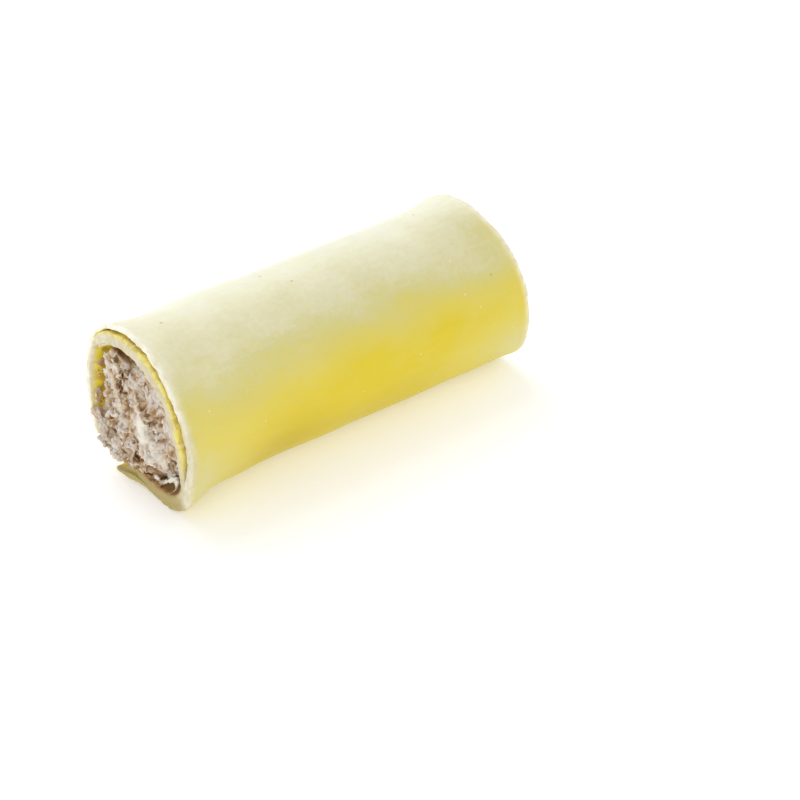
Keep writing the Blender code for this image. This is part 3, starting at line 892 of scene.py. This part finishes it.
def mince(obj, near):
    """Gives a fused plug its torn, webby and grainy skin, and stores what its colours depend on."""
    points, normals = rows_of(obj, "co"), rows_of(obj, "normal")
    across, up = SIDE_SHIFT - points[:, 1], points[:, 2]
    inward = np.abs(points[:, 0] - (NEAR_END if near else FAR_END))
    plain = np.zeros(len(points))
    cream, hollow, brown, dent = plain, plain, plain, plain
    if near:
        from_end = points[:, 0] - NEAR_END
        cream = cream_share(points)
        hollow = hollow_share(across, up, from_end) * fade(0.0004, 0.0016, from_end)
        brown = browning(points)
        dent = face_depth(across, up, NEAR_DENTS)
    warp = np.stack([noise_at(points, WARP_SIZE, s) for s in (11.0, 12.0, 13.0)], axis=1)
    bent = points + WARP * warp
    along = bent[:, 2] * FIBRE[1] - bent[:, 1] * FIBRE[0]
    shift = (FIBRE_SQUEEZE - 1.0) * along
    fibrous = bent + np.stack([np.zeros_like(shift), -FIBRE[0] * shift, FIBRE[1] * shift], axis=1)
    height = noise_sum(points, SWELLS)
    web = plain
    for i, (size, rise, sharp) in enumerate(WEBS):
        flow = noise_at(fibrous if i < 2 else points, size, 31.0 + i)
        ridge = np.exp(-np.abs(flow) / sharp)
        height = height + rise * (ridge - WEB_MEAN)
        web = np.maximum(web, ridge * (0.9 - 0.18 * i))
    for i, (size, rise, soft) in enumerate(GRAINS):
        inside, label = cells_at(fibrous if i == 0 else bent, size, 51.0 + i)
        height = height + rise * (fade(0.0, soft, inside) - GRAIN_MEAN)
        if i == 0:
            store(obj, "tint", label)
    height = height - CLEFT_DEPTH * fade(0.12, 0.55, noise_at(bent, CLEFT_SIZE, 41.0))
    other = np.maximum(np.maximum(cream, hollow), brown)
    height = height * (1.0 - WEAKER_OTHER * other) + CREAM_RISE * cream
    side = fade(*SIDE_FADE, np.hypot(points[:, 1], up - CENTRE_HEIGHT))
    height = height * (1.0 - WEAKER_AT_SIDE * side)
    relief = height * fade(*RELIEF_FADE, inward)
    moved = keep_inside(points + normals * relief[:, None])
    obj.data.vertices.foreach_set("co", moved.reshape(-1))
    obj.data.update()
    store(obj, "web", np.clip(web * (1.0 - hollow), 0.0, 1.0))
    # Partly painted shade: pit darkens the colour in the pits and in the dents
    store(obj, "pit", np.clip(PIT_MEAN - height / PIT_HEIGHT + DENT_SHADE * dent, 0.0, 1.0))
    store(obj, "cream", cream)
    store(obj, "hollow", hollow)
    store(obj, "brown", brown)
    obj.data.shade_smooth()


def make_core():
    """The hidden length of filling between the two ends."""
    clocks = np.arange(CORE_SPOKES) * FULL_TURN / CORE_SPOKES
    overlap = PLUG_DEPTH - CORE_OVERLAP
    points = []
    for station in np.linspace(NEAR_END + overlap, FAR_END - overlap, CORE_ROWS):
        row = np.full(CORE_SPOKES, station)
        across, up = layer_point(clocks, row, filling_depth(clocks, row))
        points += [(station, SIDE_SHIFT - a, b) for a, b in zip(across, up)]
    last = len(points) - CORE_SPOKES
    faces = ring_faces(0, last, CORE_SPOKES)
    faces.append(tuple(range(CORE_SPOKES)))
    faces.append(tuple(reversed(range(last, len(points)))))
    made = new_mesh_object("filling_core", points, faces)
    face_outwards(made)
    for name in ("web", "pit", "cream", "brown", "hollow", "tint"):
        store(made, name, np.full(len(points), 0.5 if name == "pit" else 0.0))
    made.data.shade_smooth()
    return made


def make_filling():
    """The filling as two pieces: the shown end, and the far end with the plain length between them."""
    ends = []
    plans = (("filling_near_end", True, 110, 5, NEAR_VOXEL), ("filling_far_end", False, 90, 8, FAR_VOXEL))
    for name, near, count, seed, voxel in plans:
        end = plug(name, near)
        add_lumps(end, near, count, seed)
        remesh(end, voxel)
        mince(end, near)
        ends.append(end)
    core = make_core()
    for obj in bpy.context.selected_objects:
        obj.select_set(False)
    core.select_set(True)
    ends[1].select_set(True)
    bpy.context.view_layer.objects.active = ends[1]
    bpy.ops.object.join()
    return ends


def linear(colour):
    """A colour from 0 to 255 in sRGB, as linear values."""
    shares = [c / 255.0 for c in colour]
    return tuple(s / 12.92 if s <= 0.04045 else ((s + 0.055) / 1.055) ** 2.4 for s in shares)


def new_material(name):
    """An empty node material with its Principled shader."""
    made = bpy.data.materials.new(name)
    made.use_nodes = True
    return made, made.node_tree.nodes["Principled BSDF"]


class Nodes:
    """Short ways to build a material's nodes. An input is a socket, a number, a vector or a colour."""

    def __init__(self, material):
        self.tree = material.node_tree
        self.where = self.add("ShaderNodeTexCoord").outputs["Object"]

    def feed(self, node, inputs):
        """Joins or sets a node's inputs. A colour is three whole numbers in sRGB."""
        for name, value in inputs.items():
            if isinstance(value, bpy.types.NodeSocket):
                self.tree.links.new(value, node.inputs[name])
            elif isinstance(value, tuple) and isinstance(value[0], int):
                node.inputs[name].default_value = (*linear(value), 1.0)
            else:
                node.inputs[name].default_value = value

    def add(self, kind, inputs=None, **settings):
        """A new node with these settings and inputs."""
        made = self.tree.nodes.new(kind)
        for key, value in settings.items():
            setattr(made, key, value)
        self.feed(made, inputs or {})
        return made

    def maths(self, operation, first, second, clamp=False):
        made = self.add("ShaderNodeMath", {0: first, 1: second}, operation=operation, use_clamp=clamp)
        return made.outputs[0]

    def times(self, first, second, clamp=False):
        return self.maths("MULTIPLY", first, second, clamp)

    def plus(self, first, second, clamp=False):
        return self.maths("ADD", first, second, clamp)

    def minus(self, first, second, clamp=False):
        return self.maths("SUBTRACT", first, second, clamp)

    def above(self, value, level, slope):
        """How far the value is above the level, times the slope, from 0 to 1."""
        return self.times(self.minus(value, level), slope, True)

    def stir(self, value, noise, amount, clamp=False):
        """The value moved up and down by noise."""
        return self.plus(value, self.times(self.minus(noise, 0.5), amount), clamp)

    def mix(self, share, first, second):
        """Mixes two colours."""
        return self.add("ShaderNodeMix", {0: share, 6: first, 7: second}, data_type="RGBA").outputs[2]

    def ramp(self, source, stops):
        """A colour ramp over the source, from stops of place and colour."""
        made = self.add("ShaderNodeValToRGB", {0: source})
        while len(made.color_ramp.elements) < len(stops):
            made.color_ramp.elements.new(0.5)
        for element, (place, colour) in zip(made.color_ramp.elements, stops):
            element.position = place
            element.color = (*linear(colour), 1.0)
        return made.outputs[0]

    def read(self, name):
        """A stored number of the mesh."""
        return self.add("ShaderNodeAttribute", attribute_name=name).outputs["Fac"]

    def grain(self, scale, detail, roughness=0.55, where=None):
        """Noise, scale in cells per metre."""
        inputs = {"Scale": scale, "Detail": detail, "Roughness": roughness, "Vector": where or self.where}
        return self.add("ShaderNodeTexNoise", inputs).outputs["Fac"]

    def dots(self, scale, core, edge):
        """White dots on black, this many per metre: white out to core, black from edge on."""
        cells = self.add("ShaderNodeTexVoronoi", {"Scale": scale, "Vector": self.where}, feature="F1")
        return self.ramp(cells.outputs["Distance"], ((0.0, WHITE), (core, WHITE), (edge, BLACK)))

    def bump(self, height, strength, distance):
        """A normal from a height."""
        inputs = {"Height": height, "Strength": strength, "Distance": distance}
        return self.add("ShaderNodeBump", inputs).outputs[0]


# Colours in sRGB from 0 to 255. A pair is mixed, a row of stops is a ramp.
WHITE = (255, 255, 255)
BLACK = (0, 0, 0)
SKIN = (
    (0.0, (244, 240, 215)), (0.12, (238, 233, 201)), (0.28, (227, 220, 180)), (0.4, (219, 211, 148)),
    (0.56, (222, 209, 118)), (0.76, (225, 208, 90)), (1.0, (225, 203, 44)),
)
FLOUR = (250, 248, 236)
BRAN = (190, 150, 70)
WET_AND_LIT = ((255, 238, 58), (252, 228, 88))
CUT = ((250, 247, 234), (228, 220, 188))
RIM_SHADE_AND_TINT = (170, 152, 86)
SEAM = ((234, 218, 110), (201, 178, 88))
SEAM_CRUMBS = (238, 228, 196)
SKIN_SHADE = (176, 150, 52)
SMEAR = ((190, 156, 102), (124, 84, 40))
FLESH = (
    (0.0, (238, 235, 229)), (0.25, (229, 224, 213)), (0.48, (217, 205, 185)), (0.7, (193, 166, 127)),
    (1.0, (140, 98, 52)),
)
BROWN_GRAINS = (190, 148, 88)
GREY_GRAINS = (190, 178, 174)
STAIN = (186, 140, 84)
WEB = (230, 224, 217)
TAN = ((200, 162, 106), (120, 80, 36))
HOLLOW = (108, 68, 34)
CREAM_COLOUR = (232, 226, 211)

# Fine streaks in the skin run along the roll, a little askew
STREAK_SCALE = (0.22, 1.0, 1.0)
STREAK_TURN = 12.0


def pasta_material():
    """Fresh egg pasta: pale cream on top, deep yellow low down, with flour specks and pulpy cut edges."""
    made, shader = new_material("fresh_pasta")
    net = Nodes(made)
    lie = {"Scale": STREAK_SCALE, "Rotation": (0.0, 0.0, math.radians(STREAK_TURN)), "Vector": net.where}
    streaks = net.grain(760.0, 3.0, 0.6, net.add("ShaderNodeMapping", lie).outputs[0])
    fine = net.plus(net.times(net.grain(900.0, 4.0, 0.65), 0.6), net.times(streaks, 0.4))
    tone = net.stir(net.read("tone"), net.grain(90.0, 3.0), 0.34)
    colour = net.ramp(net.stir(tone, fine, 0.34, True), SKIN)

    sparse = net.maths("GREATER_THAN", net.grain(260.0, 0.0), 0.6)
    flour = net.times(net.dots(420.0, 0.05, 0.09), net.times(sparse, 0.55))
    colour = net.mix(flour, colour, FLOUR)
    colour = net.mix(net.times(net.dots(150.0, 0.035, 0.06), 0.45), colour, BRAN)

    # Partly painted light: the inside is painted a brighter yellow than the skin, standing for light shining
    # through the thin wall
    wet_and_lit = net.mix(net.grain(420.0, 3.0), *WET_AND_LIT)
    colour = net.mix(net.times(net.read("wet_and_lit"), 0.94), colour, wet_and_lit)
    coarse = net.grain(620.0, 5.0, 0.65)
    cut = net.mix(net.above(coarse, 0.36, 3.4), *CUT)
    colour = net.mix(net.read("cut"), colour, cut)
    # Partly painted shade: the cut faces are painted darker and yellower here
    colour = net.mix(net.read("rim"), colour, RIM_SHADE_AND_TINT)
    # Partly painted shade: the seam colours darken the groove as well as yellowing it
    seam = net.mix(net.above(net.grain(800.0, 4.0), 0.44, 5.0), *SEAM)
    seam = net.mix(net.above(coarse, 0.55, 5.0), seam, SEAM_CRUMBS)
    colour = net.mix(net.times(net.read("groove"), 0.9), colour, seam)
    # Painted shade: the skin is darkened where the SHADES spots lie
    colour = net.mix(net.read("shade"), colour, SKIN_SHADE)
    smear = net.mix(net.grain(900.0, 4.0), *SMEAR)
    colour = net.mix(net.times(net.read("residue"), 0.96), colour, smear)
    rise = net.plus(net.times(net.grain(1500.0, 5.0, 0.6), 0.1), net.times(net.grain(330.0, 4.0), 0.3))
    rise = net.plus(rise, net.times(coarse, net.read("cut")))
    net.feed(shader, {
        "Base Color": colour,
        "Roughness": net.plus(0.42, net.times(fine, 0.16)),
        "Normal": net.bump(net.plus(rise, net.times(streaks, 0.22)), 0.5, 0.0003),
        "Specular IOR Level": 0.35,
        "Subsurface Weight": net.minus(0.55, net.times(net.read("cut"), 0.48), True),
        "Subsurface Radius": (1.0, 0.8, 0.35),
        "Subsurface Scale": 0.0022,
    })
    return made


def filling_material():
    """Cooked mince: greyish pink-brown, with tan stains and cream, painted pale on its webs and dark in its
    pits, partly as painted light and shade.
    """
    made, shader = new_material("minced_meat")
    net = Nodes(made)
    tint = net.read("tint")
    fine = net.grain(1600.0, 4.0, 0.6)
    level = net.stir(net.read("pit"), fine, 0.45, True)
    raised = net.minus(1.0, level)
    # Partly painted light and shade: pale where the mince stands out, dark in its pits
    colour = net.ramp(level, FLESH)
    colour = net.mix(net.times(net.above(tint, 0.62, 2.6), 0.6), colour, BROWN_GRAINS)
    greyer = net.times(net.minus(0.36, tint), 2.6, True)
    colour = net.mix(net.times(net.times(greyer, raised), 0.7), colour, GREY_GRAINS)
    stain = net.above(net.grain(240.0, 3.0), 0.54, 6.0)
    colour = net.mix(net.times(stain, 0.4), colour, STAIN)
    colour = net.mix(net.times(net.times(net.read("web"), raised), 0.7), colour, WEB)
    colour = net.mix(net.times(net.read("brown"), 0.95), colour, net.mix(level, *TAN))
    # Partly painted shade: the hollows are painted dark brown, standing also for the shade in them
    colour = net.mix(net.read("hollow"), colour, HOLLOW)
    colour = net.mix(net.read("cream"), colour, CREAM_COLOUR)
    net.feed(shader, {
        "Base Color": colour,
        "Roughness": net.plus(0.26, net.times(fine, 0.34)),
        "Normal": net.bump(net.grain(2300.0, 5.0, 0.65), 0.45, 0.0002),
        "Subsurface Weight": 0.15,
        "Subsurface Radius": (1.0, 0.55, 0.4),
        "Subsurface Scale": 0.001,
    })
    return made


FLOOR_SIZE = 6.0
FLOOR_LOOK = (
    ("Base Color", (0.93, 0.93, 0.93, 1.0)),
    ("Roughness", 0.9),
    ("Specular IOR Level", 0.0),
    ("Emission Color", (1.0, 1.0, 1.0, 1.0)),
    ("Emission Strength", 0.22),
)


def make_floor():
    """The plain pale floor."""
    bpy.ops.mesh.primitive_plane_add(size=FLOOR_SIZE)
    floor = bpy.context.object
    floor.name = "floor"
    look, shader = new_material("floor_white")
    for name, value in FLOOR_LOOK:
        shader.inputs[name].default_value = value
    floor.data.materials.append(look)


LIGHT_TARGET = Vector((0.0, 0.0, 0.016))


def add_light(name, place, size, power):
    """A square white area light that looks at the roll."""
    data = bpy.data.lights.new(name, "AREA")
    data.size = size
    data.energy = power
    lamp = new_object(name, data)
    lamp.location = place
    lamp.rotation_euler = (LIGHT_TARGET - Vector(place)).to_track_quat("-Z", "Y").to_euler()


def set_light():
    """A white studio: a bright dome, two large soft lights from behind, and one on the shown end."""
    world = bpy.data.worlds.new("studio")
    bpy.context.scene.world = world
    world.use_nodes = True
    dome = world.node_tree.nodes["Background"]
    dome.inputs["Color"].default_value = (1.0, 1.0, 1.0, 1.0)
    dome.inputs["Strength"].default_value = 0.74
    add_light("key_behind", (0.1, 0.42, 0.62), 0.5, 1.45)
    add_light("fill_end", (-0.5, -0.36, 0.26), 0.35, 0.95)
    add_light("back_left", (-0.06, 0.55, 0.16), 0.4, 0.8)
    bpy.context.scene.view_settings.view_transform = "Standard"


def set_camera():
    """The camera as fitted to the photo."""
    turn, tilt = math.radians(CAMERA_AZIMUTH), math.radians(CAMERA_ELEVATION)
    away = Vector((math.sin(turn) * math.cos(tilt), -math.cos(turn) * math.cos(tilt), math.sin(tilt)))
    data = bpy.data.cameras.new("camera")
    data.lens = CAMERA_LENS
    data.sensor_width = 36.0
    data.clip_start = 0.01
    camera = new_object("camera", data)
    camera.location = CAMERA_TARGET + away * CAMERA_DISTANCE
    camera.rotation_euler = (-away).to_track_quat("-Z", "Y").to_euler()
    bpy.context.scene.camera = camera


def dress(obj, material, node):
    """Gives a piece its material, hangs it under the root, and hides the CAD node it stands for."""
    obj.data.materials.clear()
    obj.data.materials.append(material)
    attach(obj, "root")
    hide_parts(node)


def main():
    """Makes and dresses the pieces, and sets the stage."""
    dress(make_pasta(), pasta_material(), "pasta_sheet")
    minced = filling_material()
    for end in make_filling():
        dress(end, minced, "filling")
    make_floor()
    set_light()
    set_camera()


main()
